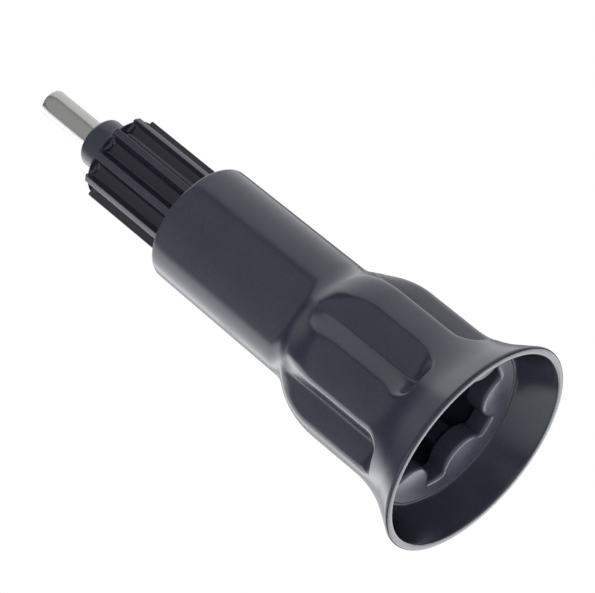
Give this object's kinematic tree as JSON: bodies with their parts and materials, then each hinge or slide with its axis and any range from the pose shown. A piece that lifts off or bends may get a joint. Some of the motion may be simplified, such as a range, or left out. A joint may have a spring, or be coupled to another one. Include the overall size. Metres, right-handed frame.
{
  "type": "drive spindle",
  "caption": "Upright moulded drive spindle: flared bell mouth with a star drive socket, lobed skirt and plain sleeve below a toothed shaft with a collar and a steel locating pin.",
  "frame": {"origin": "The middle of the bell mouth, in the plane of its rim, which is the face it stands on.", "axes": "+Z runs along the spindle from the bell mouth to the tip of the steel pin. +X lies 8.5 degrees before the middle of one lobe."},
  "size_m": [0.0482, 0.0482, 0.1275],
  "materials": {
    "sleeve_plastic": "moulded blue-grey plastic, glossy, very finely mottled",
    "socket_plastic": "moulded blue-grey plastic, satin",
    "bush_plastic": "dark moulded bearing plastic",
    "washer_plastic": "dark low-friction plastic",
    "shaft_plastic": "violet-black glass-filled plastic with bright tooth edges",
    "clip_steel": "dark spring steel",
    "collar_plastic": "moulded blue-grey plastic, satin",
    "pin_steel": "ground stainless steel",
    "insert_steel": "dark sintered steel",
    "seal_rubber": "black ring seal"
  },
  "bodies": {
    "sleeve": {"bell_sleeve": "sleeve_plastic", "drive_socket": "socket_plastic", "upper_bush": "bush_plastic", "lower_bush": "bush_plastic"},
    "core": {"thrust_washer": "washer_plastic", "spline_shaft": "shaft_plastic", "retaining_clip": "clip_steel", "pin_collar": "collar_plastic", "centre_pin": "pin_steel", "inner_drive_insert": "insert_steel", "clip_washer": "washer_plastic", "shaft_seal": "seal_rubber"}
  },
  "joints": [
    {"name": "core_spin", "type": "hinge", "parent": "sleeve", "child": "core", "pos_m": [0, 0, 0.06], "axis": [0, 0, 1], "continuous": true}
  ]
}
